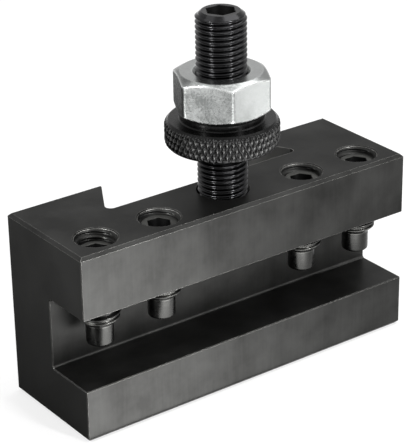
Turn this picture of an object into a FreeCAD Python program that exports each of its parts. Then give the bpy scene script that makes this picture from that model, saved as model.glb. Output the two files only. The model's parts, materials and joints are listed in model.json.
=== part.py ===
import FreeCAD, Part
import math
import os

# Quick change tool holder, millimetres.
# The origin is the middle of the flat underside. +X runs along the holder, the tool slot
# opens towards -Y, the dovetail opens towards +Y, and +Z is up.

# Holder block, from the underside up and from the front back
holder_length = 75.0
lower_jaw = 10.5
slot_height = 14.3
upper_jaw = 12.4
slot_depth = 11.3
web = 2.9
dovetail_depth = 10.4
dovetail_mouth = 33.6
dovetail_flank_deg = 30.0
dovetail_root_radius = 1.2
dovetail_lip_radius = 0.8
edge_chamfer = 0.6
corner_chamfer = 0.15
slot_edge_chamfer = 0.15
slot_corner_radius = 0.6

# Clamping screws, M8 x 1.25 with a dog point and a hexagon socket
screw_thread = 7.94
screw_thread_rise = 1.25
screw_length = 18.7
screw_dog = 5.2
screw_dog_length = 4.0
screw_dog_chamfer = 0.5
screw_top_ring = 6.8
screw_top_chamfer = 0.6
screw_socket_flats = 4.0
screw_socket_depth = 4.0
screw_end_distance = 7.1
screw_pitch = 13.75
screw_offset_from_slot_middle = 0.25
screw_countersink = 8.4
screw_tip_above_slot_floor = (5.75, 6.85, 6.6, 6.5)

# Height stud, M10 x 1 with a hexagon socket in its top
stud_thread = 9.5
stud_thread_rise = 1.0
stud_length = 45.4
stud_top_ring = 7.2
stud_top_chamfer = 0.9
stud_foot_chamfer = 0.8
stud_socket_flats = 5.0
stud_socket_depth = 5.0
stud_back_wall = 0.7
stud_floor_wall = 1.7
stud_end_gap = 0.4
stud_countersink = 10.3

# Knurled height nut: a disc with a hub on top
disc_diameter = 21.5
disc_height = 5.0
disc_top_chamfer = 0.8
disc_foot_chamfer = 0.6
hub_diameter = 15.8
hub_height = 1.4
hub_chamfer = 0.3
knurled_nut_above_holder = 9.5

# Hexagon lock nut, resting on the hub
lock_nut_flats = 16.5
lock_nut_height = 7.8
lock_nut_face = 15.4
lock_nut_chamfer_deg = 30.0
lock_nut_corner_radius = 1.0
lock_nut_turn_deg = 5.0
nut_countersink = 10.8

# Radial gap between a screwed piece and its hole, slope of a thread's flanks, point of a drill
thread_clearance = 0.03
thread_flank_deg = 30.0
socket_point_deg = 30.0

# How far a cutting or trimming shape runs past the piece
overrun = 1.0

# Places worked out from the sizes above
holder_height = lower_jaw + slot_height + upper_jaw
holder_depth = slot_depth + web + dovetail_depth
front_y = -holder_depth / 2
back_y = holder_depth / 2
slot_roof = lower_jaw + slot_height
slot_back_y = front_y + slot_depth
dovetail_floor_y = back_y - dovetail_depth
screw_hole_radius = screw_thread / 2 + thread_clearance
stud_hole_radius = stud_thread / 2 + thread_clearance
screw_y = front_y + slot_depth / 2 + screw_offset_from_slot_middle
stud_y = dovetail_floor_y - stud_back_wall - stud_hole_radius
stud_hole_floor = slot_roof + stud_floor_wall
stud_foot = stud_hole_floor + stud_end_gap
knurled_nut_foot = holder_height + knurled_nut_above_holder
lock_nut_foot = knurled_nut_foot + disc_height + hub_height


def screw_places():
    """X of the four clamping screws, from left to right."""
    outer = holder_length / 2 - screw_end_distance
    inner = outer - screw_pitch
    return (-outer, -inner, inner, outer)


def extruded(corners, sweep):
    """Prism over a closed outline of (x, y, z) corners, as long as the sweep."""
    points = [FreeCAD.Vector(*corner) for corner in corners]
    outline = Part.makePolygon(points + points[:1])
    return Part.Face(outline).extrude(FreeCAD.Vector(*sweep))


def prism(points, height):
    """Upright prism over a closed outline of (x, y) points, standing on Z = 0."""
    return extruded([(x, y, 0) for x, y in points], (0, 0, height))


def turned(profile):
    """Solid of revolution about Z from a closed outline of (radius, z) points."""
    corners = [FreeCAD.Vector(r, 0, z) for r, z in profile]
    outline = Part.makePolygon(corners + corners[:1])
    axis_point = FreeCAD.Vector(0, 0, 0)
    axis = FreeCAD.Vector(0, 0, 1)
    return Part.Face(outline).revolve(axis_point, axis, 360)


def hexagon(flats, height, turn_deg=0.0):
    """Upright hexagonal prism, with a corner at turn_deg from +X."""
    corner_radius = flats / 2 / math.cos(math.pi / 6)
    points = []
    for step in range(6):
        angle = math.radians(turn_deg + 60 * step)
        points.append((corner_radius * math.cos(angle), corner_radius * math.sin(angle)))
    return prism(points, height)


def moved(shape, x, y, z):
    """Copy of a shape, shifted."""
    copy = shape.copy()
    copy.translate(FreeCAD.Vector(x, y, z))
    return copy


def upright_edges_at(shape, places):
    """Upright edges of a shape that stand at the given (x, y) places."""
    found = []
    for edge in shape.Edges:
        box = edge.BoundBox
        if box.ZLength < box.XLength + box.YLength:
            continue
        for x, y in places:
            if math.hypot(box.Center.x - x, box.Center.y - y) < 0.01:
                found.append(edge)
    return found


def dovetail_half_width(y):
    """Half the width of the dovetail at a given Y."""
    slope = math.tan(math.radians(dovetail_flank_deg))
    return dovetail_mouth / 2 + (back_y - y) * slope


def cut_rectangle(left, right, bottom, top, cut):
    """Rectangle with its four corners cut off at 45 degrees, as (across, up) points."""
    points = [(left, bottom + cut), (left + cut, bottom), (right - cut, bottom)]
    points += [(right, bottom + cut), (right, top - cut), (right - cut, top)]
    return points + [(left + cut, top), (left, top - cut)]


def holder_blank():
    """Block with the dovetail and the broken outer edges, before the slot is cut."""
    half = holder_length / 2
    root = dovetail_half_width(dovetail_floor_y)
    mouth = dovetail_half_width(back_y)
    cut = corner_chamfer
    plan = [(-half, front_y + cut), (-half + cut, front_y), (half - cut, front_y)]
    plan += [(half, front_y + cut), (half, back_y - cut), (half - cut, back_y)]
    plan += [(mouth, back_y), (root, dovetail_floor_y), (-root, dovetail_floor_y)]
    plan += [(-mouth, back_y), (-half + cut, back_y), (-half, back_y - cut)]
    blank = prism(plan, holder_height)
    roots = [(side * root, dovetail_floor_y) for side in (-1, 1)]
    blank = blank.makeFillet(dovetail_root_radius, upright_edges_at(blank, roots))
    lips = [(side * mouth, back_y) for side in (-1, 1)]
    blank = blank.makeFillet(dovetail_lip_radius, upright_edges_at(blank, lips))
    side_view = cut_rectangle(front_y, back_y, 0, holder_height, edge_chamfer)
    start_x = -half - overrun
    length = holder_length + 2 * overrun
    end_to_end = extruded([(start_x, y, z) for y, z in side_view], (length, 0, 0))
    front_view = cut_rectangle(-half, half, 0, holder_height, edge_chamfer)
    start_y = front_y - overrun
    depth = holder_depth + 2 * overrun
    front_to_back = extruded([(x, start_y, z) for x, z in front_view], (0, depth, 0))
    return blank.common(end_to_end).common(front_to_back)


def slot_cutter():
    """What is milled out between the jaws, with rounded inner corners."""
    reach = holder_length + 2 * overrun
    cutter = Part.makeBox(reach, slot_depth + overrun, slot_height)
    cutter.translate(FreeCAD.Vector(-reach / 2, front_y - overrun, lower_jaw))
    inner = [e for e in cutter.Edges if abs(e.BoundBox.YMin - slot_back_y) < 0.001]
    long_inner = [e for e in inner if e.BoundBox.XLength > holder_length]
    return cutter.makeFillet(slot_corner_radius, long_inner)


def slot_rim_edges(shape):
    """Sharp edges that the slot leaves along the front and both ends of the jaws."""
    found = []
    inner_end = slot_back_y - slot_corner_radius
    for edge in shape.Edges:
        box = edge.BoundBox
        flat = box.ZLength < 0.001
        at_jaw = abs(box.ZMin - lower_jaw) < 0.001 or abs(box.ZMin - slot_roof) < 0.001
        if flat and at_jaw and box.YMin < inner_end - 0.001:
            found.append(edge)
    return found


def tapped_hole(radius, bottom, countersink):
    """Cutter for an upright threaded hole that opens in the top face."""
    mouth = countersink / 2
    depth = mouth - radius
    top = holder_height
    above = top + overrun
    return turned([(0, bottom), (radius, bottom), (radius, top - depth), (mouth, top),
                   (mouth, above), (0, above)])


def holder_body():
    body = holder_blank().cut(slot_cutter())
    body = body.makeChamfer(slot_edge_chamfer, slot_rim_edges(body))
    for x in screw_places():
        hole = tapped_hole(screw_hole_radius, slot_roof - overrun, screw_countersink)
        body = body.cut(moved(hole, x, screw_y, 0))
    hole = tapped_hole(stud_hole_radius, stud_hole_floor, stud_countersink)
    return body.cut(moved(hole, 0, stud_y, 0))


def socket_cutter(flats, depth, top):
    """Hexagon socket with the cone that the drill leaves at its bottom."""
    bottom = top - depth
    core = flats / 2
    point = core * math.tan(math.radians(socket_point_deg))
    recess = moved(hexagon(flats, depth + overrun), 0, 0, bottom)
    cone = turned([(0, bottom - point), (core, bottom), (0, bottom)])
    return recess.fuse(cone)


def grooved_rod(radius, rise, length):
    """Rod about Z, from below Z = 0 to above its length, with a V groove to each rise of its thread."""
    crest = rise / 8
    root = rise / 4
    depth = (rise - crest - root) / 2 / math.tan(math.radians(thread_flank_deg))
    profile = []
    for step in range(-1, math.ceil(length / rise) + 1):
        z = step * rise
        profile += [(radius, z - crest / 2), (radius, z + crest / 2)]
        profile += [(radius - depth, z + (rise - root) / 2), (radius - depth, z + (rise + root) / 2)]
    ends = [(0, profile[-1][1]), (0, profile[0][1])]
    return turned(profile + ends)


def set_screw():
    """Clamping screw standing on its dog point at Z = 0."""
    thread = screw_thread / 2
    dog = screw_dog / 2
    shoulder = screw_dog_length + thread - dog
    profile = [(0, 0), (dog - screw_dog_chamfer, 0), (dog, screw_dog_chamfer)]
    profile += [(dog, screw_dog_length), (thread, shoulder)]
    profile += [(thread, screw_length - screw_top_chamfer)]
    profile += [(screw_top_ring / 2, screw_length), (0, screw_length)]
    socket = socket_cutter(screw_socket_flats, screw_socket_depth, screw_length)
    rod = grooved_rod(thread, screw_thread_rise, screw_length)
    return turned(profile).common(rod).cut(socket)


def height_stud():
    """Threaded stud standing on Z = 0."""
    thread = stud_thread / 2
    profile = [(0, 0), (thread - stud_foot_chamfer, 0), (thread, stud_foot_chamfer)]
    profile += [(thread, stud_length - stud_top_chamfer)]
    profile += [(stud_top_ring / 2, stud_length), (0, stud_length)]
    socket = socket_cutter(stud_socket_flats, stud_socket_depth, stud_length)
    rod = grooved_rod(thread, stud_thread_rise, stud_length)
    return turned(profile).common(rod).cut(socket)


def knurled_nut():
    """Height nut with its underside at Z = 0."""
    rim = disc_diameter / 2
    hub = hub_diameter / 2
    bore = stud_hole_radius
    mouth = nut_countersink / 2
    sink = mouth - bore
    top = disc_height + hub_height
    profile = [(mouth, 0), (rim - disc_foot_chamfer, 0), (rim, disc_foot_chamfer)]
    profile += [(rim, disc_height - disc_top_chamfer), (rim - disc_top_chamfer, disc_height)]
    profile += [(hub, disc_height), (hub, top - hub_chamfer), (hub - hub_chamfer, top)]
    profile += [(mouth, top), (bore, top - sink), (bore, sink)]
    return turned(profile)


def lock_nut():
    """Hexagon nut with its underside at Z = 0."""
    hexagonal = hexagon(lock_nut_flats, lock_nut_height, lock_nut_turn_deg)
    upright = [e for e in hexagonal.Edges if e.BoundBox.ZLength > lock_nut_height / 2]
    hexagonal = hexagonal.makeFillet(lock_nut_corner_radius, upright)
    face = lock_nut_face / 2
    bore = stud_hole_radius
    mouth = nut_countersink / 2
    sink = mouth - bore
    outside = lock_nut_flats
    drop = (outside - face) * math.tan(math.radians(lock_nut_chamfer_deg))
    top = lock_nut_height
    profile = [(mouth, 0), (face, 0), (outside, drop), (outside, top - drop), (face, top)]
    profile += [(mouth, top), (bore, top - sink), (bore, sink)]
    return hexagonal.common(turned(profile))


def save(shape, node):
    """Write one sub-part, after a check that it is a single closed solid."""
    if not shape.isValid() or len(shape.Solids) != 1:
        raise ValueError(node + " is not one closed solid")
    shape.Solids[0].exportStep(os.path.join("parts", node + ".step"))


os.makedirs("parts", exist_ok=True)
save(holder_body(), "holder_body")
for number, x in enumerate(screw_places(), start=1):
    tip = lower_jaw + screw_tip_above_slot_floor[number - 1]
    save(moved(set_screw(), x, screw_y, tip), "set_screw_%d" % number)
save(moved(height_stud(), 0, stud_y, stud_foot), "height_stud")
save(moved(knurled_nut(), 0, stud_y, knurled_nut_foot), "knurled_nut")
save(moved(lock_nut(), 0, stud_y, lock_nut_foot), "lock_nut")
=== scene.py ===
import json
import math

import bmesh
import bpy
from bpy.props import FloatProperty, FloatVectorProperty, IntProperty, PointerProperty
from mathutils import Matrix, Quaternion, Vector


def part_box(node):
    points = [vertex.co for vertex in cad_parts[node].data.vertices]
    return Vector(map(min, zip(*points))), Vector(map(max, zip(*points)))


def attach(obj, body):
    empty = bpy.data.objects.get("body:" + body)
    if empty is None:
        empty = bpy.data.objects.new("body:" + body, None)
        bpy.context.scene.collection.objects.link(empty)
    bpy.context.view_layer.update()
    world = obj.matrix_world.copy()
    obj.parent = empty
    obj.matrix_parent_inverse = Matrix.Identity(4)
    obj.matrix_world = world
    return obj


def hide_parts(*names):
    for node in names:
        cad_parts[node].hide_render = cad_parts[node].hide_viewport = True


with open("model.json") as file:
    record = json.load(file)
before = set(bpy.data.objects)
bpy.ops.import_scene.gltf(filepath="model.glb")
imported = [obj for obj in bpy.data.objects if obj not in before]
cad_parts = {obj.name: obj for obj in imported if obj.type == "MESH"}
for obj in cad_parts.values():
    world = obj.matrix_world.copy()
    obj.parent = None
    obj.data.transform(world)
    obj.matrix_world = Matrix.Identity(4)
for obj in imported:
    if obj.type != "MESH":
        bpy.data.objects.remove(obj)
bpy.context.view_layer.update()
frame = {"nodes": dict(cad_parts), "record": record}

bl_info = {
    "name": "Quick change tool holder",
    "version": (1, 0, 0),
    "blender": (4, 5, 0),
    "location": "3D View > Sidebar > Tool holder",
    "description": "Threads, knurl, finishes and studio for a blackened steel lathe tool holder",
    "category": "Object",
}

MM = 0.001
FULL_TURN = 2 * math.pi
MERGE = 1e-7
WHITE = (1, 1, 1, 1)

# Angles between two faces from which their edge stays sharp
SHARP = math.radians(30)
KNURL_SHARP = math.radians(25)

SCREWS = ("set_screw_1", "set_screw_2", "set_screw_3", "set_screw_4")
BODIES = frame["record"]["behaviour"]["bodies"]
BODY_OF = {node: body for body, nodes in BODIES.items() for node in nodes}
HOLDER_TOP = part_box("holder_body")[1].z

# Shares of one pitch at which a thread's profile has a point. Its crest is at 0.5.
THREAD_SHARES = (0.0, 0.085, 0.20, 0.32, 0.4375, 0.5625, 0.68, 0.80, 0.915, 1.0)

# Steps in the rounding of a dog point's lower edge
DOG_STEPS = 4

# Heights above the slot's roof where a hole's thread starts and where its edges turn smooth
HOLE_START = 0.02 * MM
HOLE_SMOOTH = 0.05 * MM

# How far the back of a hole's thread stands in from its two ends
HOLE_LIP = 0.1 * MM

# Slope where the knurled nut's hub meets the disc
HUB_ROOT = 0.2 * MM

# The knurl's slopes are this much too tall and cut off at its height, which leaves flat tips
KNURL_SLOPE = 1.35

# Values between which most of a noise lies
MOST = (0.3, 0.7)

# Depth of the fine bumps in every finish
BUMP = 0.02 * MM

# How much of its normal a face keeps where its edge mark, for wear and painted highlight, is full
FULL_EDGE = 0.86

# How far a face looks along the block where the dovetail's flanks and the block's ends begin. The
# flanks are painted lighter against their shade, and the ends carry a painted tone.
FLANKS_FROM = (0.80, 0.84)
ENDS_FROM = (0.90, 0.94)

# Y places between which the inside of the tool slot begins
SLOT_INSIDE = (-7.0 * MM, -6.0 * MM)

# Heights above a set screw's tip between which one colour gives way to the next: the dog point,
# the lowest turns painted lighter against the jaw's shade, the black thread and the top ring
# painted lighter
DOG_TO_TURNS = (3.8 * MM, 4.0 * MM)
TURNS_TO_BLACK = (6.0 * MM, 8.0 * MM)
BLACK_TO_RIM = (18.2 * MM, 18.6 * MM)

# Distances from the middle between which the floor's glow grows
GLOW_GROWS = (200 * MM, 700 * MM)

# Cards lying on the floor that only metal mirrors, as painted dark reflections: X places and Y
# places in millimetres
CARDS = {
    "grey_card": ((-160, 40), (-12, 202)),
    "dark_card": ((-88, -41), (-62, -16)),
    "right_card": ((60, 94), (-92, -48)),
}

# Softboxes lying on the floor: X places and Y places in millimetres, and for one that fades to
# nothing at its right edge, the share of its width that the fade takes and the fade's power
PANELS = {
    "front_panel": ((-38, 88), (-140, -38), (0.68, 4.4)),
    "near_panel": ((-38, 60), (-38, -12.8), (0.82, 2.4)),
    "left_panel": ((-165, -85), (-20, 8), None),
    "right_panel": ((97, 131), (-115, -75), None),
}

# Softboxes around the holder: the name of its brightness, azimuth and elevation in degrees, then
# distance, width and height in millimetres
SOFTBOXES = {
    "front_strip": ("strips", 12, 31, 400, 30, 240),
    "left_strip": ("strips", -86, 31, 400, 30, 240),
    "right_strip": ("right_strip", 44, 15, 400, 60, 110),
    "top_softbox": ("top_softbox", 92, 66, 450, 380, 340),
    "back_softbox": ("back_softbox", 195, 66, 450, 260, 200),
}

# Height at which the softboxes around the holder look
AIM_HEIGHT = 35 * MM


def linear(hex_colour):
    """Linear RGBA from an sRGB hex colour such as #3A3B3C."""
    channels = [int(hex_colour[i:i + 2], 16) / 255 for i in (1, 3, 5)]
    bent = (c / 12.92 if c <= 0.04045 else ((c + 0.055) / 1.055) ** 2.4 for c in channels)
    return tuple(bent) + (1.0,)


def length(name, description, millimetres):
    """A length property, shown in the scene's units."""
    return FloatProperty(name=name, description=description, default=millimetres * MM,
                         unit="LENGTH", precision=5)


def rotation(name, description, degrees):
    """An angle property, given in degrees."""
    return FloatProperty(name=name, description=description, default=math.radians(degrees),
                         subtype="ANGLE")


def brightness(name, description, white):
    """A brightness property, where 1 is paper white."""
    return FloatProperty(name=name, description=description, default=white)


def colour(name, description, hex_colour):
    """A colour property."""
    return FloatVectorProperty(name=name, description=description, default=linear(hex_colour),
                               size=4, subtype="COLOR", min=0.0, max=1.0)


class ThreadSizes(bpy.types.PropertyGroup):
    stud_pitch: length("Stud pitch", "Rise of the stud's thread in one turn", 1.0)
    screw_pitch: length("Screw pitch", "Rise of a set screw's thread in one turn", 1.25)
    depth_share: FloatProperty(name="Thread depth",
                               description="Depth of a thread as a share of its pitch",
                               default=0.613, subtype="FACTOR", min=0.1, max=0.8)
    steps: IntProperty(name="Steps", description="Facets in one turn of a thread", default=80,
                       min=12)
    stud_ring: length("Stud ring", "Radius of the flat ring on top of the stud", 3.6)
    stud_chamfer: length("Stud chamfer", "Height of the chamfer on top of the stud", 0.9)
    screw_ring: length("Screw ring", "Radius of the flat ring on top of a set screw", 3.4)
    screw_chamfer: length("Screw chamfer", "Height of the chamfer on top of a set screw", 0.6)
    dog_radius: length("Dog radius", "Radius of a set screw's dog point", 2.6)
    dog_height: length("Dog height", "Height of a set screw's dog point", 4.0)
    dog_edge: length("Dog edge", "Rounding of the dog point's lower edge", 0.5)


class SocketSizes(bpy.types.PropertyGroup):
    stud_flats: length("Stud socket", "Width across the flats of the stud's socket", 5.0)
    stud_depth: length("Stud socket depth", "Depth of the stud's socket", 5.0)
    screw_flats: length("Screw socket", "Width across the flats of a set screw's socket", 4.0)
    screw_depth: length("Screw socket depth", "Depth of a set screw's socket", 4.0)
    edge: length("Socket edge", "Chamfer around the mouth of a socket", 0.12)


class KnurlSizes(bpy.types.PropertyGroup):
    spacing: length("Spacing", "Distance between grooves around the rim", 1.2)
    depth: length("Depth", "Depth of the grooves", 0.42)
    angle: rotation("Angle", "Slant of the grooves from upright", 27)
    samples: IntProperty(name="Samples", description="Facets across one groove", default=12,
                         min=4)
    disc_height: length("Disc height", "Height of the knurled disc without its hub", 5.0)
    top_chamfer: length("Top chamfer", "Chamfer above the knurl", 0.8)
    foot_chamfer: length("Foot chamfer", "Chamfer below the knurl", 0.6)
    hub_radius: length("Hub radius", "Radius of the hub on top of the disc", 7.9)
    hub_chamfer: length("Hub chamfer", "Chamfer on the hub's top edge", 0.3)
    bore: length("Bore", "Radius of the threaded bore", 4.78)
    countersink: length("Countersink", "Radius of the bore's mouth", 5.4)


class HoleSizes(bpy.types.PropertyGroup):
    wall: length("Wall", "Radius of the hole at the bottom of its thread", 3.99)
    backing: length("Backing", "Radius of the thread's back, inside the block", 4.3)
    mouth: length("Mouth", "Radius of the countersink in the top face", 4.2)
    slot_roof: length("Slot roof", "Height of the slot's roof above the underside", 24.8)
    gap: length("Gap", "Gap between a screw's thread and the hole's thread", 0.05)


class FinishColours(bpy.types.PropertyGroup):
    block_dark: colour("Block, dark", "Darker patches of the blackened block", "#2A2A29")
    block_light: colour("Block, light", "Lighter patches of the blackened block", "#3A3A39")
    # Painted tone: the block's end faces take a colour of their own, chosen for how they are lit.
    block_end: colour("Block, ends", "Matt milled ends of the blackened block", "#434342")
    # Painted light: the dovetail's flanks are coloured lighter to cancel the shade that falls
    # inside the dovetail.
    block_flank: colour("Block, flanks", "Flanks of the dovetail, under a thin black", "#7E7E7C")
    # Partly wear and partly painted highlight: the block's edges are coloured lighter.
    block_edge: colour("Block, edges", "Steel that shows through on sharp edges", "#C4C3BF")
    stud_black: colour("Stud", "Blackened thread of the stud", "#333334")
    screw_black: colour("Set screws", "Blackened set screws", "#333333")
    # Painted light: the screws' top ring is coloured lighter, as the light it catches.
    screw_rim: colour("Set screws, rim", "Top ring of a set screw, rubbed by its key", "#545452")
    # Painted shade: the inside of the sockets is coloured darker, as shade in the recess.
    socket_shade: colour("Sockets", "Inside of the hexagon sockets", "#111111")
    knurl_black: colour("Knurled nut", "Blackened knurled nut", "#282828")
    # Partly wear and partly painted highlight: the knurl's tips are coloured lighter.
    knurl_crest: colour("Knurl crests", "Worn tips of the knurl", "#5A5A59")
    # Painted light: the turns just above the dog point are coloured lighter against the jaw's
    # shade.
    turns_painted_light: colour("Set screws, foot", "Turns above the dog point, rubbed", "#525250")
    dog_steel: colour("Dog point", "Ground steel of the dog points", "#353534")
    zinc_light: colour("Zinc, light", "Lighter grains of the zinc plate", "#9FA1A0")
    zinc_dark: colour("Zinc, dark", "Darker stains of the zinc plate", "#6C6E6D")
    # Painted highlight: the colour of the nut's edges and of its top face.
    zinc_highlight: colour("Zinc, edges", "Rubbed edges of the zinc plate", "#DCDEDD")
    floor: colour("Floor", "Studio floor", "#A8A8A8")
    # Painted reflections: the cards' colours show only in metal, as darker reflections.
    grey_card: colour("Grey card", "Card behind the holder", "#424242")
    dark_card: colour("Dark card", "Card at the camera's side", "#1C1C1C")
    right_card: colour("Right card", "Card at the right", "#303030")


class StageSizes(bpy.types.PropertyGroup):
    camera_left: length("Camera left", "Distance of the camera to the left of the middle", 193.20)
    camera_front: length("Camera front", "Distance of the camera in front of the middle", 263.21)
    camera_height: length("Camera height", "Height of the camera above the floor", 182.34)
    camera_azimuth: rotation("Azimuth", "Where the camera stands around the holder", -36.006)
    camera_elevation: rotation("Elevation", "How steeply the camera looks down", 25.220)
    camera_roll: rotation("Roll", "Turn of the camera about its line of sight", -0.990)
    lens: FloatProperty(name="Lens", description="Focal length on a 36 mm sensor",
                        default=152.13)
    floor_width: length("Floor width", "Width of the studio floor", 6000.0)
    room: brightness("Room", "The room around the holder", 0.35)
    mirrored_room: brightness("Mirrored room", "What metal shows of the room beyond that", 0.33)
    floor_glow: brightness("Floor glow", "White that the floor shows by itself", 0.62)
    far_glow: brightness("Far glow", "The same for the floor away from the lamps", 0.85)
    front_panel: brightness("Front panel", "Panel lying in front", 7.0)
    near_panel: brightness("Near panel", "Panel at the holder's foot", 4.4)
    left_panel: brightness("Left panel", "Panel lying at the left", 10.0)
    right_panel: brightness("Right panel", "Panel lying at the right", 5.0)
    strips: brightness("Strips", "The two tall upright softboxes", 42.0)
    right_strip: brightness("Right strip", "Small softbox at the right", 8.0)
    top_softbox: brightness("Top softbox", "Softbox overhead", 3.0)
    back_softbox: brightness("Back softbox", "High softbox behind", 1.0)


def settings(name):
    """One of the property groups registered on the scene."""
    return getattr(bpy.context.scene, name)


def add_node(tree, kind, values=None, links=None):
    """Adds a node, sets its properties and inputs, and links sockets into its inputs.

    Properties go by name, and inputs by name or number.
    """
    node = tree.nodes.new(kind)
    for name, value in (values or {}).items():
        if isinstance(name, int) or name in node.inputs:
            node.inputs[name].default_value = value
        else:
            setattr(node, name, value)
    for name, socket in (links or {}).items():
        tree.links.new(socket, node.inputs[name])
    return node


def new_material(name):
    """An empty node material and its tree."""
    material = bpy.data.materials.new(name)
    material.use_nodes = True
    material.node_tree.nodes.clear()
    return material, material.node_tree


def noise(tree, coordinates, grain, detail=2.0, roughness=0.5, stretch=(1, 1, 1)):
    """Noise with grains of a size in millimetres, drawn out by stretch along X, Y and Z."""
    scale = tuple(1 / share for share in stretch)
    mapped = add_node(tree, "ShaderNodeMapping", {"vector_type": "POINT", "Scale": scale},
                      {"Vector": coordinates})
    return add_node(tree, "ShaderNodeTexNoise",
                    {"Scale": 1 / (grain * MM), "Detail": detail, "Roughness": roughness},
                    {"Vector": mapped.outputs["Vector"]}).outputs["Fac"]


def ranged(tree, value, low, high, to_low, to_high):
    """Value from low..high spread over to_low..to_high, and held at the ends."""
    return add_node(tree, "ShaderNodeMapRange",
                    {"clamp": True, 1: low, 2: high, 3: to_low, 4: to_high},
                    {0: value}).outputs["Result"]


def calculated(tree, operation, links, values=None):
    """Result of a Math node whose inputs are sockets in links and numbers in values."""
    return add_node(tree, "ShaderNodeMath", {"operation": operation, **(values or {})},
                    links).outputs[0]


def mixed(tree, factor, first, second):
    """Colour between two colours, each a constant or a socket."""
    values = {"data_type": "RGBA"}
    links = {0: factor}
    for index, side in ((6, first), (7, second)):
        if isinstance(side, bpy.types.NodeSocket):
            links[index] = side
        else:
            values[index] = side
    return add_node(tree, "ShaderNodeMix", values, links).outputs[2]


def edge_wear_and_highlight(tree, width, fade):
    """1 along a piece's edges and 0 on its faces.

    The normal is bent over a width in millimetres, and a face is clean where it keeps more than
    fade of its own.
    """
    rounded = add_node(tree, "ShaderNodeBevel", {"samples": 8, "Radius": width * MM})
    normal = add_node(tree, "ShaderNodeNewGeometry").outputs["Normal"]
    same = add_node(tree, "ShaderNodeVectorMath", {"operation": "DOT_PRODUCT"},
                    {0: normal, 1: rounded.outputs["Normal"]}).outputs["Value"]
    return ranged(tree, same, FULL_EDGE, fade, 1.0, 0.0)


def part_of(tree, vector, axis):
    """A vector's share along an axis, which is 0 for X, 1 for Y and 2 for Z."""
    return add_node(tree, "ShaderNodeSeparateXYZ", None, {"Vector": vector}).outputs[axis]


def facing_along(tree):
    """How far a face looks along the block: 1 on its ends, 0.87 on the dovetail's flanks."""
    normal = add_node(tree, "ShaderNodeNewGeometry").outputs["True Normal"]
    size = add_node(tree, "ShaderNodeVectorMath", {"operation": "ABSOLUTE"}, {0: normal})
    return part_of(tree, size.outputs["Vector"], 0)


def slot_back(tree, place):
    """1 on the face at the back of the tool slot, which the cutter left rougher."""
    normal = add_node(tree, "ShaderNodeNewGeometry").outputs["True Normal"]
    forward = ranged(tree, part_of(tree, normal, 1), -0.9, -0.8, 1.0, 0.0)
    inside = ranged(tree, part_of(tree, place, 1), *SLOT_INSIDE, 0.0, 1.0)
    return calculated(tree, "MULTIPLY", {0: forward, 1: inside})


def finish_output(tree, shader):
    """Sends a shader to the material's output."""
    add_node(tree, "ShaderNodeOutputMaterial", None, {"Surface": shader.outputs[0]})


def finish_metal(tree, base, rough, bump, values):
    """Sends a metal with a colour, a roughness and a bump node to the material's output."""
    shader = add_node(tree, "ShaderNodeBsdfPrincipled", values,
                      {"Base Color": base, "Roughness": rough, "Normal": bump.outputs["Normal"]})
    finish_output(tree, shader)


def bumped(tree, strength, height, normal=None):
    """Bump node of a strength, whose height is a noise."""
    links = {"Height": height}
    if normal:
        links["Normal"] = normal
    return add_node(tree, "ShaderNodeBump", {"Strength": strength, "Distance": BUMP}, links)


def marked(tree, name):
    """Value that a piece's vertices carry under a name."""
    return add_node(tree, "ShaderNodeAttribute",
                    {"attribute_type": "GEOMETRY", "attribute_name": name}).outputs["Fac"]


def black_oxide_block():
    """Carbon steel, milled and ground, then blackened in hot salts.

    It gives a satin near-black face with soft cloudy patches, faint grinding lines along the
    block and a rougher back of the slot. Its edges are lighter, partly where the black is rubbed
    thin and partly as a painted highlight. The dovetail's flanks are painted lighter against their
    shade, and the block's ends carry a painted tone of their own.
    """
    colours = settings("holder_colours")
    material, tree = new_material("black_oxide_block")
    place = add_node(tree, "ShaderNodeTexCoord").outputs["Object"]
    clouds = noise(tree, place, 9.0, detail=4.0, roughness=0.6)
    lines = noise(tree, place, 0.25, stretch=(60, 1, 1))
    specks = noise(tree, place, 0.5, detail=3.0)
    streaks = noise(tree, place, 0.5, stretch=(1, 1, 16))
    patches = calculated(tree, "MULTIPLY_ADD", {0: streaks, 2: clouds}, {1: 0.18})
    patches = ranged(tree, patches, 0.42, 0.76, 0.0, 1.0)
    base = mixed(tree, patches, colours.block_dark, colours.block_light)
    along = facing_along(tree)
    # Painted light on the dovetail's flanks, which lifts the shade inside the dovetail.
    base = mixed(tree, ranged(tree, along, *FLANKS_FROM, 0.0, 1.0), base, colours.block_flank)
    # Painted tone on the block's end faces, chosen for how they are lit.
    base = mixed(tree, ranged(tree, along, *ENDS_FROM, 0.0, 1.0), base, colours.block_end)
    uneven = ranged(tree, specks, 0.3, 0.6, 0.4, 1.0)
    # Lighter edges: wear where the black is thin, and a painted highlight.
    worn_and_lit = calculated(tree, "MULTIPLY", {0: edge_wear_and_highlight(tree, 0.2, 0.95), 1: uneven})
    base = mixed(tree, worn_and_lit, base, colours.block_edge)
    rough = ranged(tree, clouds, *MOST, 0.34, 0.44)
    rough = add_node(tree, "ShaderNodeMix", {3: 0.52}, {0: slot_back(tree, place), 2: rough})
    relief = calculated(tree, "ADD", {0: lines, 1: specks})
    finish_metal(tree, base, rough.outputs[0], bumped(tree, 0.12, relief),
                 {"Metallic": 0.8, "Specular Tint": (0.6, 0.6, 0.6, 1.0)})
    return material


def black_oxide_thread():
    """Rolled steel thread, blackened: smooth and glossy, with a dull socket darkened by painted
    shade.
    """
    colours = settings("holder_colours")
    material, tree = new_material("black_oxide_thread")
    place = add_node(tree, "ShaderNodeTexCoord").outputs["Object"]
    grain = noise(tree, place, 0.8, detail=3.0)
    socket = marked(tree, "in_socket")
    # Painted shade inside the socket.
    base = mixed(tree, socket, colours.stud_black, colours.socket_shade)
    rough = ranged(tree, grain, *MOST, 0.14, 0.24)
    rough = calculated(tree, "MULTIPLY_ADD", {0: socket, 2: rough}, {1: 0.4})
    finish_metal(tree, base, rough, bumped(tree, 0.1, grain), {"Metallic": 1.0})
    return material


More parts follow.
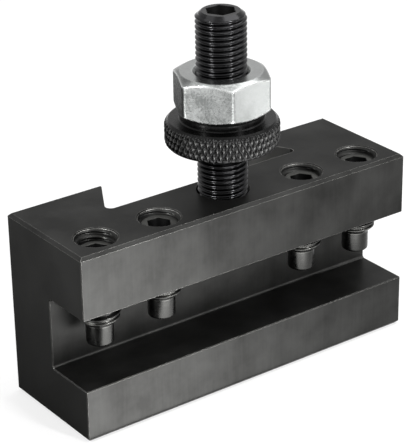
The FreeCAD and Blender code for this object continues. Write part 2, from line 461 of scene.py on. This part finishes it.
def black_oxide_screw():
    """Blackened set screw with a turned dog point.

    Its lowest turns are painted lighter against the jaw's shade and its top ring carries painted
    light; its socket is dull and darkened by painted shade, and fine turning marks spread its
    streaks of light.
    """
    colours = settings("holder_colours")
    material, tree = new_material("black_oxide_screw")
    place = add_node(tree, "ShaderNodeTexCoord").outputs["Object"]
    grain = noise(tree, place, 0.8, detail=3.0)
    above = marked(tree, "above_tip")
    ragged = calculated(tree, "MULTIPLY_ADD", {0: grain, 2: above}, {1: 1.5 * MM})
    # Painted light on the lowest turns, which stand in the jaw's shade.
    turns = ranged(tree, ragged, *TURNS_TO_BLACK, 1.0, 0.0)
    dog = ranged(tree, above, *DOG_TO_TURNS, 1.0, 0.0)
    # Painted light on the top ring.
    rim = ranged(tree, above, *BLACK_TO_RIM, 0.0, 1.0)
    socket = marked(tree, "in_socket")
    base = mixed(tree, turns, colours.screw_black, colours.turns_painted_light)
    base = mixed(tree, dog, base, colours.dog_steel)
    base = mixed(tree, rim, base, colours.screw_rim)
    # Painted shade inside the socket.
    base = mixed(tree, socket, base, colours.socket_shade)
    dull = calculated(tree, "MAXIMUM", {0: socket, 1: rim})
    rough = ranged(tree, grain, *MOST, 0.24, 0.36)
    rough = calculated(tree, "MULTIPLY_ADD", {0: dull, 2: rough}, {1: 0.3})
    rings = noise(tree, place, 0.25, detail=1.0, stretch=(60, 60, 1))
    finish_metal(tree, base, rough, bumped(tree, 0.3, rings), {"Metallic": 1.0})
    return material


def black_oxide_knurl():
    """Turned and knurled steel, blackened: duller than the thread, with tips lighter by wear and
    painted highlight.
    """
    colours = settings("holder_colours")
    material, tree = new_material("black_oxide_knurl")
    place = add_node(tree, "ShaderNodeTexCoord").outputs["Object"]
    grain = noise(tree, place, 0.6, detail=3.0)
    # Lighter tips: wear and a painted highlight.
    worn_and_lit = ranged(tree, marked(tree, "knurl_crest"), 0.6, 1.0, 0.0, 0.8)
    base = mixed(tree, worn_and_lit, colours.knurl_black, colours.knurl_crest)
    rough = ranged(tree, grain, *MOST, 0.20, 0.32)
    finish_metal(tree, base, rough, bumped(tree, 0.15, grain), {"Metallic": 1.0})
    return material


def zinc_plate():
    """Cold-formed steel nut, zinc plated and clear passivated.

    It gives bright grey faces with cloudy stains. The faces that look right are painted lighter
    and more even, and the top face and the edges carry a painted highlight.
    """
    colours = settings("holder_colours")
    material, tree = new_material("zinc_plate")
    place = add_node(tree, "ShaderNodeTexCoord").outputs["Object"]
    fine = noise(tree, place, 0.4, detail=4.0, roughness=0.7)
    cloudy = noise(tree, place, 3.2)
    stains = add_node(tree, "ShaderNodeMix", {0: 0.45}, {2: fine, 3: cloudy}).outputs[0]
    normal = add_node(tree, "ShaderNodeNewGeometry").outputs["True Normal"]
    # Painted light: on the faces that look right the stains are evened out and lightened, for how
    # those faces are lit.
    even = ranged(tree, part_of(tree, normal, 0), -0.2, 0.05, 0.0, 0.8)
    stains = add_node(tree, "ShaderNodeMix", {3: 0.56}, {0: even, 2: stains}).outputs[0]
    light = ranged(tree, stains, 0.40, 0.60, 0.0, 1.0)
    base = mixed(tree, light, colours.zinc_dark, colours.zinc_light)
    # Painted highlight on the top face.
    top = ranged(tree, part_of(tree, normal, 2), 0.9, 0.97, 0.0, 0.4)
    base = mixed(tree, top, base, colours.zinc_highlight)
    # Painted highlight along the edges.
    base = mixed(tree, edge_wear_and_highlight(tree, 1.0, 0.99), base, colours.zinc_highlight)
    rough = ranged(tree, stains, *MOST, 0.32, 0.22)
    rounded = add_node(tree, "ShaderNodeBevel", {"samples": 6, "Radius": 0.45 * MM})
    bump = bumped(tree, 0.12, noise(tree, place, 0.35), rounded.outputs["Normal"])
    finish_metal(tree, base, rough, bump, {"Metallic": 1.0})
    return material


def thread_radius(crest, depth, pitch, share):
    """Radius of a 60 degree thread at a share of its pitch, with its crest at 0.5.

    The crest is flat over an eighth of the pitch.
    """
    from_crest = abs(share - 0.5) * pitch
    drop = (from_crest - pitch / 16) * math.tan(math.radians(60))
    return crest - min(max(drop, 0.0), depth)


def repeat(bm, count, turn, rise):
    """Copies the whole mesh until it stands count times, each turned and raised from the last."""
    unit = bm.verts[:] + bm.edges[:] + bm.faces[:]
    for step in range(1, count):
        copy = bmesh.ops.duplicate(bm, geom=unit)["geom"]
        verts = [v for v in copy if isinstance(v, bmesh.types.BMVert)]
        turned = Matrix.Rotation(turn * step, 3, "Z")
        bmesh.ops.rotate(bm, verts=verts, cent=(0, 0, 0), matrix=turned)
        bmesh.ops.translate(bm, verts=verts, vec=(0, 0, rise * step))
    bmesh.ops.remove_doubles(bm, verts=bm.verts, dist=MERGE)


def thread_surface(bm, crest, depth, pitch, low, high, steps):
    """Helical thread surface from below low to above high, as one open tube."""
    start = low - 1.5 * pitch
    profile = [(thread_radius(crest, depth, pitch, share), start + share * pitch)
               for share in THREAD_SHARES]
    verts = [bm.verts.new((r, 0, z)) for r, z in profile]
    edges = [bm.edges.new(pair) for pair in zip(verts, verts[1:])]
    bmesh.ops.spin(bm, geom=verts + edges, cent=(0, 0, 0), axis=(0, 0, 1),
                   dvec=(0, 0, pitch / steps), angle=FULL_TURN, steps=steps, use_merge=False,
                   use_normal_flip=False, use_duplicate=False)
    repeat(bm, math.ceil((high - low) / pitch) + 2, 0.0, pitch)


def between(points, z):
    """Radius at a height on a line of (z, radius) points that rises in z."""
    if z <= points[0][0]:
        return points[0][1]
    for (z0, r0), (z1, r1) in zip(points, points[1:]):
        if z <= z1:
            return r0 + (r1 - r0) * (z - z0) / (z1 - z0)
    return points[-1][1]


def set_radius(vert, radius):
    """Moves a vertex straight in or out to a radius about Z."""
    now = math.hypot(vert.co.x, vert.co.y)
    vert.co.x *= radius / now
    vert.co.y *= radius / now


def cut_flat(bm, z, keep_below):
    """Cuts the mesh level at z, keeps one side, and returns the edges of the cut."""
    normal = (0, 0, 1) if keep_below else (0, 0, -1)
    geometry = bm.verts[:] + bm.edges[:] + bm.faces[:]
    cut = bmesh.ops.bisect_plane(bm, geom=geometry, dist=MERGE, plane_co=(0, 0, z),
                                 plane_no=normal, clear_outer=True)
    return [e for e in cut["geom_cut"] if isinstance(e, bmesh.types.BMEdge)]


def ring_on(bm, loop, radius, z):
    """Extrudes a loop of edges to a new ring at another radius and height."""
    made = bmesh.ops.extrude_edge_only(bm, edges=loop)["geom"]
    verts = {v for v in made if isinstance(v, bmesh.types.BMVert)}
    for vert in verts:
        set_radius(vert, radius)
        vert.co.z = z
    return [e for e in made if isinstance(e, bmesh.types.BMEdge) and set(e.verts) <= verts]


def loop_at_radius(loop, radius):
    """Moves a loop of edges straight in or out to a radius about Z."""
    for vert in {v for e in loop for v in e.verts}:
        set_radius(vert, radius)


def hexagon_loop(bm, flats, z):
    """Loop of six edges with the given width across its flats."""
    corner = flats / 2 / math.cos(math.pi / 6)
    verts = []
    for step in range(6):
        angle = step * FULL_TURN / 6
        verts.append(bm.verts.new((corner * math.cos(angle), corner * math.sin(angle), z)))
    return [bm.edges.new((verts[i], verts[(i + 1) % 6])) for i in range(6)]


def hexagon_socket(bm, rim, flats, depth, edge, top):
    """Closes the flat top inside the rim, with a hexagon socket and its drill's cone."""
    mouth = hexagon_loop(bm, flats + 2 * edge, top)
    bmesh.ops.triangle_fill(bm, edges=rim + mouth, use_beauty=True, normal=(0, 0, 1))
    corner = flats / 2 / math.cos(math.pi / 6)
    wall = ring_on(bm, mouth, corner, top - edge)
    floor = ring_on(bm, wall, corner, top - depth)
    made = bmesh.ops.contextual_create(bm, geom=floor)["faces"]
    made = bmesh.ops.poke(bm, faces=made, offset=0.0, center_mode="MEAN")
    for vert in made["verts"]:
        vert.co.z -= flats / 2 * math.tan(math.radians(30))


def finish_mesh(bm, name, place, material, sharp, smooth_zone=None):
    """Turns a bmesh built about Z into a piece standing at place, with its sharp edges marked.

    Every edge stays smooth between the two heights of the smooth zone.
    """
    bmesh.ops.recalc_face_normals(bm, faces=bm.faces)
    for face in bm.faces:
        face.smooth = True
    for edge in bm.edges:
        if len(edge.link_faces) == 2 and edge.calc_face_angle(0.0) > sharp:
            heights = [v.co.z for v in edge.verts]
            edge.smooth = bool(smooth_zone and min(heights) < smooth_zone[1] - MERGE
                               and max(heights) > smooth_zone[0] + MERGE)
    bmesh.ops.translate(bm, vec=place, verts=bm.verts)
    mesh = bpy.data.meshes.new(name)
    bm.to_mesh(mesh)
    bm.free()
    piece = bpy.data.objects.new(name, mesh)
    bpy.context.scene.collection.objects.link(piece)
    mesh.materials.append(material)
    return piece


def mark(piece, name, values):
    """Gives a value to each of the piece's vertices, under a name."""
    piece.data.attributes.new(name, "FLOAT", "POINT").data.foreach_set("value", values)


def mark_socket(piece, place, top, flats, edge):
    """Sets the attribute in_socket on the vertices of the piece's hexagon socket."""
    reach = flats / 2 / math.cos(math.pi / 6) + MERGE
    inside = []
    for vert in piece.data.vertices:
        away = vert.co - Vector(place)
        below = top - 3 * flats < away.z < top - edge / 2
        inside.append(float(math.hypot(away.x, away.y) < reach and below))
    mark(piece, "in_socket", inside)


def middle_of(node):
    """The node's upright axis as (x, y), its lowest and highest z, and its radius."""
    low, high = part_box(node)
    return (low.x + high.x) / 2, (low.y + high.y) / 2, low.z, high.z, (high.x - low.x) / 2


def held_within(bm, limit):
    """Pulls every vertex in to the radius that a line of (z, radius) points allows."""
    for vert in bm.verts:
        now = math.hypot(vert.co.x, vert.co.y)
        set_radius(vert, min(now, between(limit, vert.co.z)))


def stand_for(piece, node):
    """Lets a new piece ride on the node's body and stand for the node, which is hidden."""
    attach(piece, BODY_OF[node])
    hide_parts(node)


class MakeStud(bpy.types.Operator):
    """Makes the height stud with its thread, chamfer and hexagon socket"""
    bl_idname = "toolholder.make_stud"
    bl_label = "Height stud"

    def execute(self, context):
        thread = settings("holder_threads")
        sockets = settings("holder_sockets")
        x, y, low, high, crest = middle_of("height_stud")
        top = high - low
        depth = thread.depth_share * thread.stud_pitch
        bm = bmesh.new()
        thread_surface(bm, crest, depth, thread.stud_pitch, 0.0, top, thread.steps)
        limit = ((0.0, crest - thread.stud_chamfer), (thread.stud_chamfer, crest))
        limit += ((top - thread.stud_chamfer, crest), (top, thread.stud_ring))
        held_within(bm, limit)
        rim = cut_flat(bm, top, keep_below=True)
        foot = cut_flat(bm, 0.0, keep_below=False)
        loop_at_radius(rim, thread.stud_ring)
        bmesh.ops.contextual_create(bm, geom=foot)
        hexagon_socket(bm, rim, sockets.stud_flats, sockets.stud_depth, sockets.edge, top)
        piece = finish_mesh(bm, "threaded_height_stud", (x, y, low), black_oxide_thread(),
                            SHARP, (0.0, top))
        mark_socket(piece, (x, y, low), top, sockets.stud_flats, sockets.edge)
        stand_for(piece, "height_stud")
        return {"FINISHED"}


class MakeSetScrews(bpy.types.Operator):
    """Makes the four clamping screws with their threads, dog points and hexagon sockets"""
    bl_idname = "toolholder.make_set_screws"
    bl_label = "Set screws"

    def execute(self, context):
        thread = settings("holder_threads")
        sockets = settings("holder_sockets")
        material = black_oxide_screw()
        for node in SCREWS:
            x, y, low, high, crest = middle_of(node)
            top = high - low
            dog = thread.dog_radius
            shoulder = thread.dog_height
            bm = bmesh.new()
            depth = thread.depth_share * thread.screw_pitch
            thread_surface(bm, crest, depth, thread.screw_pitch, shoulder, top, thread.steps)
            limit = ((shoulder, dog), (shoulder + crest - dog, crest))
            limit += ((top - thread.screw_chamfer, crest), (top, thread.screw_ring))
            held_within(bm, limit)
            rim = cut_flat(bm, top, keep_below=True)
            foot = cut_flat(bm, shoulder, keep_below=False)
            loop_at_radius(rim, min(thread.screw_ring, crest - depth))
            loop_at_radius(foot, dog)
            hexagon_socket(bm, rim, sockets.screw_flats, sockets.screw_depth, sockets.edge, top)
            edge = thread.dog_edge
            foot = ring_on(bm, foot, dog, edge)
            for step in range(1, DOG_STEPS + 1):
                angle = step * math.pi / 2 / DOG_STEPS
                foot = ring_on(bm, foot, dog - edge * (1 - math.cos(angle)),
                               edge * (1 - math.sin(angle)))
            bmesh.ops.contextual_create(bm, geom=foot)
            piece = finish_mesh(bm, "threaded_" + node, (x, y, low), material, SHARP,
                                (shoulder, top))
            mark_socket(piece, (x, y, low), top, sockets.screw_flats, sockets.edge)
            mark(piece, "above_tip", [v.co.z - low for v in piece.data.vertices])
            stand_for(piece, node)
        return {"FINISHED"}


class MakeHoleThreads(bpy.types.Operator):
    """Makes the internal threads of the four screw holes, in mesh with the screws"""
    bl_idname = "toolholder.make_hole_threads"
    bl_label = "Screw hole threads"

    def execute(self, context):
        thread = settings("holder_threads")
        hole = settings("holder_holes")
        material = frame["nodes"]["holder_body"].material_slots[0].material
        for number, node in enumerate(SCREWS, start=1):
            x, y, low, _, crest = middle_of(node)
            depth = thread.depth_share * thread.screw_pitch
            foot = hole.slot_roof - low
            mouth_start = HOLDER_TOP - (hole.mouth - hole.wall) - low
            bm = bmesh.new()
            thread_surface(bm, crest, depth, thread.screw_pitch, foot, mouth_start,
                           thread.steps)
            limit = ((mouth_start - depth, crest - depth), (mouth_start, hole.wall))
            for vert in bm.verts:
                now = math.hypot(vert.co.x, vert.co.y) + hole.gap
                set_radius(vert, min(max(now, between(limit, vert.co.z)), hole.wall))
            upper = cut_flat(bm, mouth_start, keep_below=True)
            lower = cut_flat(bm, foot + HOLE_START, keep_below=False)
            back = ring_on(bm, upper, hole.backing, mouth_start - HOLE_LIP)
            front = ring_on(bm, lower, hole.backing, foot + HOLE_LIP)
            bmesh.ops.bridge_loops(bm, edges=back + front)
            piece = finish_mesh(bm, "screw_hole_thread_%d" % number, (x, y, low), material,
                                SHARP, (foot + HOLE_SMOOTH, mouth_start))
            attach(piece, BODY_OF["holder_body"])
        return {"FINISHED"}


def knurl_height(around, up, spacing, slant):
    """Height of the knurl from 0 in a groove to 1 on a tip, at a place on the unrolled rim."""
    tilt = up * math.tan(slant)
    waves = []
    for place in (around + tilt, around - tilt):
        share = (place / spacing) % 1.0
        waves.append(1 - abs(2 * share - 1))
    return min(1.0, KNURL_SLOPE * min(waves))


class MakeKnurledNut(bpy.types.Operator):
    """Makes the knurled height nut: a disc with a diamond-knurled rim and a plain hub"""
    bl_idname = "toolholder.make_knurled_nut"
    bl_label = "Knurled nut"

    def execute(self, context):
        nut = settings("holder_knurl")
        x, y, low, high, rim = middle_of("knurled_nut")
        top = high - low
        disc = nut.disc_height
        sink = nut.countersink - nut.bore
        teeth = round(FULL_TURN * rim / nut.spacing)
        spacing = FULL_TURN * rim / teeth
        rise = spacing / nut.samples / math.tan(nut.angle)
        low_edge = nut.foot_chamfer - nut.depth
        high_edge = disc - nut.top_chamfer + nut.depth
        limit = ((0.0, rim - nut.foot_chamfer), (nut.foot_chamfer, rim))
        limit += ((disc - nut.top_chamfer, rim), (disc, rim - nut.top_chamfer))
        rows = math.ceil((high_edge - low_edge) / rise)
        heights = [low_edge + (high_edge - low_edge) * row / rows for row in range(rows + 1)]
        profile = [(nut.countersink, 0.0), (rim - nut.foot_chamfer, 0.0)]
        profile += [(between(limit, z), z) for z in heights]
        profile += [(rim - nut.top_chamfer, disc), (nut.hub_radius + HUB_ROOT, disc)]
        profile += [(nut.hub_radius, disc + HUB_ROOT), (nut.hub_radius, top - nut.hub_chamfer)]
        profile += [(nut.hub_radius - nut.hub_chamfer, top), (nut.countersink, top)]
        profile += [(nut.bore, top - sink), (nut.bore, sink)]
        bm = bmesh.new()
        verts = [bm.verts.new((r, 0, z)) for r, z in profile]
        edges = [bm.edges.new(pair) for pair in zip(verts, verts[1:] + verts[:1])]
        bmesh.ops.spin(bm, geom=verts + edges, cent=(0, 0, 0), axis=(0, 0, 1), dvec=(0, 0, 0),
                       angle=FULL_TURN / teeth, steps=nut.samples, use_merge=False,
                       use_normal_flip=False, use_duplicate=False)
        repeat(bm, teeth, FULL_TURN / teeth, 0.0)
        for vert in bm.verts:
            now = math.hypot(vert.co.x, vert.co.y)
            if now > rim - nut.depth - MERGE and low_edge - MERGE < vert.co.z < high_edge + MERGE:
                around = math.atan2(vert.co.y, vert.co.x) * rim
                share = knurl_height(around, vert.co.z - disc / 2, spacing, nut.angle)
                set_radius(vert, min(now, rim - nut.depth * (1 - share)))
        piece = finish_mesh(bm, "knurled_height_nut", (x, y, low), black_oxide_knurl(),
                            KNURL_SHARP, (low_edge, high_edge))
        crests = []
        for vert in piece.data.vertices:
            radius = math.hypot(vert.co.x - x, vert.co.y - y)
            on_rim = low_edge < vert.co.z - low < high_edge
            crests.append(max(0.0, 1 - (rim - radius) / nut.depth) if on_rim else 0.0)
        mark(piece, "knurl_crest", crests)
        stand_for(piece, "knurled_nut")
        return {"FINISHED"}


class FinishLockNut(bpy.types.Operator):
    """Gives the hexagon lock nut its zinc plate"""
    bl_idname = "toolholder.finish_lock_nut"
    bl_label = "Lock nut"

    def execute(self, context):
        finish_node("lock_nut", zinc_plate())
        return {"FINISHED"}


class FinishBlock(bpy.types.Operator):
    """Gives the holder block its black oxide"""
    bl_idname = "toolholder.finish_block"
    bl_label = "Holder block"

    def execute(self, context):
        finish_node("holder_body", black_oxide_block())
        return {"FINISHED"}


def finish_node(node, material):
    """Puts a material in every slot of a node's object."""
    piece = frame["nodes"][node]
    for slot in piece.material_slots:
        slot.material = material


def studio_floor():
    """Grey paper that glows until it shows white in the picture, and keeps a soft shadow."""
    colours = settings("holder_colours")
    stage = settings("holder_stage")
    material, tree = new_material("studio_floor")
    path = add_node(tree, "ShaderNodeLightPath")
    seen = calculated(tree, "MAXIMUM", {0: path.outputs["Is Camera Ray"],
                                        1: path.outputs["Is Glossy Ray"]})
    seen = calculated(tree, "MAXIMUM", {0: seen, 1: path.outputs["Is Transmission Ray"]})
    place = add_node(tree, "ShaderNodeTexCoord").outputs["Object"]
    away = add_node(tree, "ShaderNodeVectorMath", {"operation": "LENGTH"}, {0: place})
    glow = ranged(tree, away.outputs["Value"], *GLOW_GROWS, stage.floor_glow, stage.far_glow)
    glow = calculated(tree, "MULTIPLY", {0: glow, 1: seen})
    paper = add_node(tree, "ShaderNodeBsdfDiffuse", {"Color": colours.floor})
    light = add_node(tree, "ShaderNodeEmission", {"Color": WHITE}, {"Strength": glow})
    both = add_node(tree, "ShaderNodeAddShader", None, {0: paper.outputs[0], 1: light.outputs[0]})
    finish_output(tree, both)
    return material


def mirrored_card(name, across, deep, shade):
    """Card lying on the floor, placed as in CARDS, which only metal mirrors: a painted dark
    reflection.
    """
    material, tree = new_material(name)
    finish_output(tree, add_node(tree, "ShaderNodeBsdfDiffuse", {"Color": shade}))
    half = Vector((across[1] - across[0], deep[1] - deep[0], 0)) / 2 * MM
    middle = Vector((sum(across) / 2, sum(deep) / 2, 0.3)) * MM
    bm = bmesh.new()
    bmesh.ops.create_grid(bm, x_segments=1, y_segments=1, size=1)
    bmesh.ops.scale(bm, vec=(half.x, half.y, 1), verts=bm.verts)
    card = finish_mesh(bm, name, middle, material, SHARP)
    card.visible_camera = False
    card.visible_diffuse = False
    card.visible_transmission = False
    card.visible_shadow = False


def direction(azimuth, elevation):
    """Unit vector towards a place around the holder.

    Azimuth 0 is the holder's front, and it grows to the right.
    """
    flat = math.cos(elevation)
    return Vector((math.sin(azimuth) * flat, -math.cos(azimuth) * flat, math.sin(elevation)))


def add_softbox(name, place, facing, width, height, brightness):
    """Rectangular softbox at a place, facing a direction, whose brightness 1 is paper white."""
    lamp = bpy.data.lights.new(name, "AREA")
    lamp.shape = "RECTANGLE"
    lamp.size = width
    lamp.size_y = height
    lamp.energy = brightness * math.pi * width * height
    softbox = bpy.data.objects.new(name, lamp)
    softbox.location = place
    softbox.rotation_mode = "QUATERNION"
    softbox.rotation_quaternion = (-facing).to_track_quat("Z", "Y")
    softbox.visible_camera = False
    bpy.context.scene.collection.objects.link(softbox)
    return softbox


def softbox_around(name, azimuth, elevation, distance, width, height, brightness):
    """Softbox that looks at the holder's middle, placed as in SOFTBOXES."""
    away = direction(math.radians(azimuth), math.radians(elevation))
    place = Vector((0, 0, AIM_HEIGHT)) + away * distance * MM
    return add_softbox(name, place, -away, width * MM, height * MM, brightness)


def lying_panel(name, across, deep, brightness):
    """Softbox lying on the floor and facing up, placed as in PANELS."""
    middle = Vector((sum(across) / 2, sum(deep) / 2, 0.5)) * MM
    width, height = across[1] - across[0], deep[1] - deep[0]
    return add_softbox(name, middle, Vector((0, 0, 1)), width * MM, height * MM, brightness)


def fade_across(softbox, share, power):
    """Lets a softbox fade to nothing at its right edge, over a share of its width."""
    softbox.data.use_nodes = True
    tree = softbox.data.node_tree
    tree.nodes.clear()
    surface = add_node(tree, "ShaderNodeNewGeometry").outputs["Parametric"]
    rising = ranged(tree, part_of(tree, surface, 0), 0.0, share, 0.0, 1.0)
    strength = calculated(tree, "POWER", {0: rising}, {1: power})
    light = add_node(tree, "ShaderNodeEmission", {"Color": WHITE}, {"Strength": strength})
    add_node(tree, "ShaderNodeOutputLight", None, {"Surface": light.outputs[0]})


def studio_room():
    """World that lights the holder softly and shows white to the camera.

    Metal mirrors a brighter room than the one that lights the holder.
    """
    stage = settings("holder_stage")
    world = bpy.data.worlds.new("studio_room")
    world.use_nodes = True
    tree = world.node_tree
    tree.nodes.clear()
    path = add_node(tree, "ShaderNodeLightPath")
    lit = calculated(tree, "MULTIPLY_ADD", {0: path.outputs["Is Glossy Ray"]},
                     {1: stage.mirrored_room, 2: stage.room})
    white = calculated(tree, "MAXIMUM", {0: path.outputs["Is Camera Ray"],
                                         1: path.outputs["Is Transmission Ray"]})
    strength = calculated(tree, "MAXIMUM", {0: lit, 1: white})
    room = add_node(tree, "ShaderNodeBackground", {"Color": WHITE}, {"Strength": strength})
    add_node(tree, "ShaderNodeOutputWorld", None, {"Surface": room.outputs[0]})
    return world


def studio_camera():
    """Camera that stands where the photo was taken."""
    stage = settings("holder_stage")
    lens = bpy.data.cameras.new("camera")
    lens.sensor_width = 36
    lens.lens = stage.lens
    lens.clip_start = 0.01
    camera = bpy.data.objects.new("camera", lens)
    camera.location = (-stage.camera_left, -stage.camera_front, stage.camera_height)
    camera.rotation_mode = "QUATERNION"
    back = direction(stage.camera_azimuth, stage.camera_elevation)
    roll = Quaternion((0, 0, 1), stage.camera_roll)
    camera.rotation_quaternion = back.to_track_quat("Z", "Y") @ roll
    bpy.context.scene.collection.objects.link(camera)
    return camera


class SetStage(bpy.types.Operator):
    """Sets up the pale floor, the cards, the soft studio lamps, the room and the camera"""
    bl_idname = "toolholder.set_stage"
    bl_label = "Studio"

    def execute(self, context):
        stage = settings("holder_stage")
        colours = settings("holder_colours")
        scene = context.scene
        bm = bmesh.new()
        bmesh.ops.create_grid(bm, x_segments=1, y_segments=1, size=stage.floor_width / 2)
        floor = finish_mesh(bm, "studio_floor", (0, 0, -0.05 * MM), studio_floor(), SHARP)
        for name, (across, deep) in CARDS.items():
            mirrored_card(name, across, deep, getattr(colours, name))
        for name, (across, deep, fade) in PANELS.items():
            panel = lying_panel(name, across, deep, getattr(stage, name))
            if fade:
                fade_across(panel, *fade)
        for name, (strength, *place) in SOFTBOXES.items():
            softbox_around(name, *place, getattr(stage, strength))
        scene.world = studio_room()
        scene.view_settings.view_transform = "Standard"
        scene.camera = studio_camera()
        return {"FINISHED"}


class HolderPanel(bpy.types.Panel):
    """Lists the steps that dress the tool holder"""
    bl_idname = "VIEW3D_PT_toolholder"
    bl_label = "Tool holder"
    bl_space_type = "VIEW_3D"
    bl_region_type = "UI"
    bl_category = "Tool holder"

    def draw(self, context):
        for operator in OPERATORS:
            self.layout.operator(operator.bl_idname)
        for name in GROUPS:
            box = self.layout.box()
            group = getattr(context.scene, name)
            for prop in group.bl_rna.properties:
                if prop.identifier not in ("rna_type", "name"):
                    box.prop(group, prop.identifier)


GROUPS = {
    "holder_threads": ThreadSizes,
    "holder_sockets": SocketSizes,
    "holder_knurl": KnurlSizes,
    "holder_holes": HoleSizes,
    "holder_colours": FinishColours,
    "holder_stage": StageSizes,
}
OPERATORS = (FinishBlock, MakeStud, MakeSetScrews, MakeHoleThreads, MakeKnurledNut, FinishLockNut,
             SetStage)


def register():
    """Registers the property groups, the operators and the panel."""
    for name, group in GROUPS.items():
        bpy.utils.register_class(group)
        setattr(bpy.types.Scene, name, PointerProperty(type=group))
    for item in OPERATORS + (HolderPanel,):
        bpy.utils.register_class(item)


def unregister():
    """Takes back what register did."""
    for item in reversed(OPERATORS + (HolderPanel,)):
        bpy.utils.unregister_class(item)
    for name, group in GROUPS.items():
        delattr(bpy.types.Scene, name)
        bpy.utils.unregister_class(group)


def main():
    register()
    bpy.ops.toolholder.finish_block()
    bpy.ops.toolholder.make_stud()
    bpy.ops.toolholder.make_set_screws()
    bpy.ops.toolholder.make_hole_threads()
    bpy.ops.toolholder.make_knurled_nut()
    bpy.ops.toolholder.finish_lock_nut()
    bpy.ops.toolholder.set_stage()


if __name__ == "__main__":
    main()
